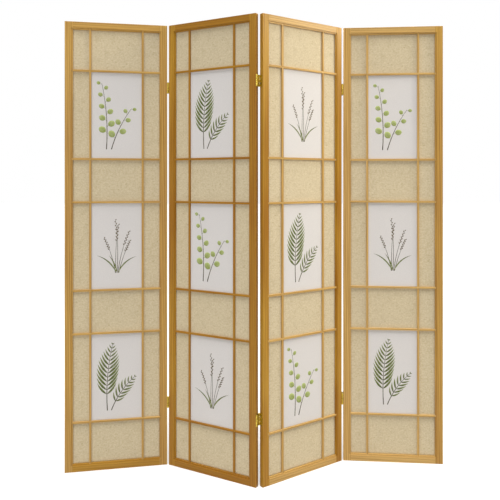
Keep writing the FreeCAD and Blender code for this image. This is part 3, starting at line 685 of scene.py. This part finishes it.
def print_pane(panel, row, plant, space, front, material):
    """One printed plant on a pane: flat blades of ink, each a step nearer the front than the last, scaled
    together so that the plant fills most of the pane."""
    settings = bpy.context.scene.divider_print
    left, right, low, high = space
    ink = Ink()
    plant(ink, settings)
    flat = np.concatenate(ink.points)
    corners = flat.reshape(-1, 2)
    first, last = corners.min(axis=0), corners.max(axis=0)
    room = np.array((right - left, high - low))
    scale = (room * PRINT_SHARE / (last - first)).min()
    x, z = np.moveaxis((flat - (first + last) / 2) * scale, -1, 0)
    x = x + (left + right) / 2
    z = z + (low + high) / 2
    film_step = 0.002 * MM
    nearer = np.arange(len(flat))[:, None, None] * film_step
    clear = settings.film / 2
    y = front - clear - settings.film - nearer + 0 * x
    name = "%s_%s_print" % (panel.body, ROWS[row])
    faces = grid_faces(len(flat), Ink.STEPS, Ink.ACROSS)[:, ::-1]
    piece = new_piece(name, panel.world(x, y, z), faces, panel.body, material)
    tones = np.concatenate(ink.colours).reshape(-1, 3)
    attribute = piece.data.attributes.new("ink", "FLOAT_COLOR", "POINT")
    attribute.data.foreach_set("color", np.column_stack((tones, np.ones(len(tones)))).ravel())
    thicken(piece, settings.film, -1)


class DIVIDER_OT_finish_pine(bpy.types.Operator):
    """Give the frames and lattices their stained pine"""

    bl_idname = "divider.finish_pine"
    bl_label = "Finish the pine"

    def execute(self, context):
        for panel in panels:
            # Each panel and member gets its own copy of the pine, paler where painted light falls and darker
            # in painted shade.
            for (member, axis), paleness_and_painted_light in zip(GRAIN_AXIS.items(), PALENESS_AND_PAINTED_LIGHT[panel.body]):
                wood = honey_pine("honey_pine_%s_%s" % (panel.body, member), panel, axis, paleness_and_painted_light)
                for node in frame["nodes"]:
                    if node.startswith(panel.body) and node.endswith(member):
                        dress(node, wood)
        return {"FINISHED"}


class DIVIDER_OT_finish_brass(bpy.types.Operator):
    """Give the hinges, pins and screws their brass"""

    bl_idname = "divider.finish_brass"
    bl_label = "Finish the brass"

    def execute(self, context):
        plates = rolled_brass("rolled_brass", PLATE_ROUGHNESS)
        turned = rolled_brass("turned_brass", TURNED_ROUGHNESS)
        for node in frame["nodes"]:
            if node.endswith(("leaves", "links")):
                dress(node, plates)
            elif node.endswith(("pins", "screws")):
                dress(node, turned)
        return {"FINISHED"}


class DIVIDER_OT_stretch_cloth(bpy.types.Operator):
    """Stretch the fibre cloth of each panel between its lattices"""

    bl_idname = "divider.stretch_cloth"
    bl_label = "Stretch the cloth"

    def execute(self, context):
        material = fibre_cloth()
        for number, panel in enumerate(panels):
            stretch_cloth(panel, number, material)
        return {"FINISHED"}


class DIVIDER_OT_print_panes(bpy.types.Operator):
    """Give the panes their card and print a plant on each"""

    bl_idname = "divider.print_panes"
    bl_label = "Print the panes"

    def execute(self, context):
        card = uncoated_card()
        ink = printed_ink()
        for number, panel in enumerate(panels):
            dress(panel.body + "_print_panes", card)
            pane = panel.own("print_panes")
            left, front, _ = pane.min(axis=0)
            right = pane[:, 0].max()
            edges = [low for low, _ in groups(pane[:, 2], MM)]
            for row in range(len(ROWS)):
                plant = PLANTS[(number + row) % len(PLANTS)]
                space = (left, right, edges[2 * row], edges[2 * row + 1])
                print_pane(panel, row, plant, space, front, ink)
        return {"FINISHED"}


def shown_to_eye(tree):
    """1 for rays that the eye, a mirror or glass sends, and 0 for light between surfaces."""
    path = add(tree, "ShaderNodeLightPath").outputs
    seen = path["Is Camera Ray"]
    for ray in ("Is Glossy Ray", "Is Transmission Ray"):
        seen = add(tree, "ShaderNodeMath", {0: seen, 1: path[ray]}, operation="MAXIMUM").outputs[0]
    return seen


def lamp(name, place, target, width, power):
    """A soft square lamp that faces a target, with its power in watts."""
    data = bpy.data.lights.new(name, "AREA")
    data.size = width
    data.energy = power
    light = bpy.data.objects.new(name, data)
    light.location = place
    light.rotation_euler = (Vector(target) - Vector(place)).to_track_quat("-Z", "Y").to_euler()
    bpy.context.scene.collection.objects.link(light)


class DIVIDER_OT_set_studio(bpy.types.Operator):
    """Lay the floor, and set the light and the camera"""

    bl_idname = "divider.set_studio"
    bl_label = "Set the studio"

    def execute(self, context):
        scene = context.scene
        studio = scene.divider_studio
        scene.view_settings.view_transform = "Standard"

        sides = np.array((-FLOOR_REACH, FLOOR_REACH))
        x, y = np.meshgrid(sides, sides)
        mesh = bpy.data.meshes.new("studio_floor")
        ground = np.stack((x, y, 0 * x), axis=-1).reshape(-1, 3)
        mesh.from_pydata(ground.tolist(), [], grid_faces(1, 2, 2).tolist())
        floor = bpy.data.objects.new("studio_floor", mesh)
        scene.collection.objects.link(floor)
        painted, tree, surface = shaded("painted_floor", Roughness=0.9, Base_Color=opaque(studio.floor),
                                        Emission_Color=(1, 1, 1, 1))
        lift = add(tree, "ShaderNodeMath", {0: shown_to_eye(tree), 1: studio.lift}, operation="MULTIPLY")
        tree.links.new(lift.outputs[0], surface.inputs["Emission Strength"])
        mesh.materials.append(painted)

        world = bpy.data.worlds.new("white_studio")
        world.use_nodes = True
        scene.world = world
        tree = world.node_tree
        tree.nodes.clear()
        soft = add(tree, "ShaderNodeBackground", {"Strength": studio.ambient, "Color": (1, 1, 1, 1)})
        white = add(tree, "ShaderNodeBackground", {"Strength": 1, "Color": (1, 1, 1, 1)})
        both = add(tree, "ShaderNodeMixShader",
                   {0: shown_to_eye(tree), 1: soft.outputs[0], 2: white.outputs[0]})
        add(tree, "ShaderNodeOutputWorld", {"Surface": both.outputs[0]})

        for name, (place, target, width) in LAMPS.items():
            lamp(name, place, target, width, getattr(studio, name))
        bpy.data.lights["key"].color = studio.warm
        skylight = bpy.data.lights.new("top", "SUN")
        skylight.energy = studio.top
        skylight.angle = SKY_WIDTH
        above = bpy.data.objects.new("top", skylight)
        above.rotation_euler = SKY_TURN
        scene.collection.objects.link(above)

        data = bpy.data.cameras.new("camera")
        data.lens = studio.lens
        data.shift_y = studio.rise
        camera = bpy.data.objects.new("camera", data)
        camera.location = (studio.camera_side, -studio.camera_distance, studio.camera_height)
        camera.rotation_euler = (math.pi / 2, 0, 0)
        scene.collection.objects.link(camera)
        scene.camera = camera
        return {"FINISHED"}


SETTINGS = {
    "divider_pine": PineSettings,
    "divider_cloth": ClothSettings,
    "divider_print": PrintSettings,
    "divider_brass": BrassSettings,
    "divider_studio": StudioSettings,
}
STEPS = (
    DIVIDER_OT_finish_pine,
    DIVIDER_OT_finish_brass,
    DIVIDER_OT_stretch_cloth,
    DIVIDER_OT_print_panes,
    DIVIDER_OT_set_studio,
)


class DIVIDER_PT_sidebar(bpy.types.Panel):
    """Settings and steps of the divider's looks"""

    bl_idname = "DIVIDER_PT_sidebar"
    bl_label = "Folding room divider"
    bl_space_type = "VIEW_3D"
    bl_region_type = "UI"
    bl_category = "Divider"

    def draw(self, context):
        for step in STEPS:
            self.layout.operator(step.bl_idname)
        for name in SETTINGS:
            group = getattr(context.scene, name)
            box = self.layout.box()
            for setting in group.__annotations__:
                box.prop(group, setting)


def register():
    """Registers the settings, the steps and the sidebar."""
    for name, group in SETTINGS.items():
        bpy.utils.register_class(group)
        setattr(bpy.types.Scene, name, bpy.props.PointerProperty(type=group))
    for step in (*STEPS, DIVIDER_PT_sidebar):
        bpy.utils.register_class(step)


def unregister():
    """Takes the sidebar, the steps and the settings out again."""
    for step in reversed((*STEPS, DIVIDER_PT_sidebar)):
        bpy.utils.unregister_class(step)
    for name, group in reversed(SETTINGS.items()):
        delattr(bpy.types.Scene, name)
        bpy.utils.unregister_class(group)


def main():
    """Makes the divider's looks step by step."""
    register()
    bpy.ops.divider.finish_pine()
    bpy.ops.divider.finish_brass()
    bpy.ops.divider.stretch_cloth()
    bpy.ops.divider.print_panes()
    bpy.ops.divider.set_studio()


if __name__ == "__main__":
    main()
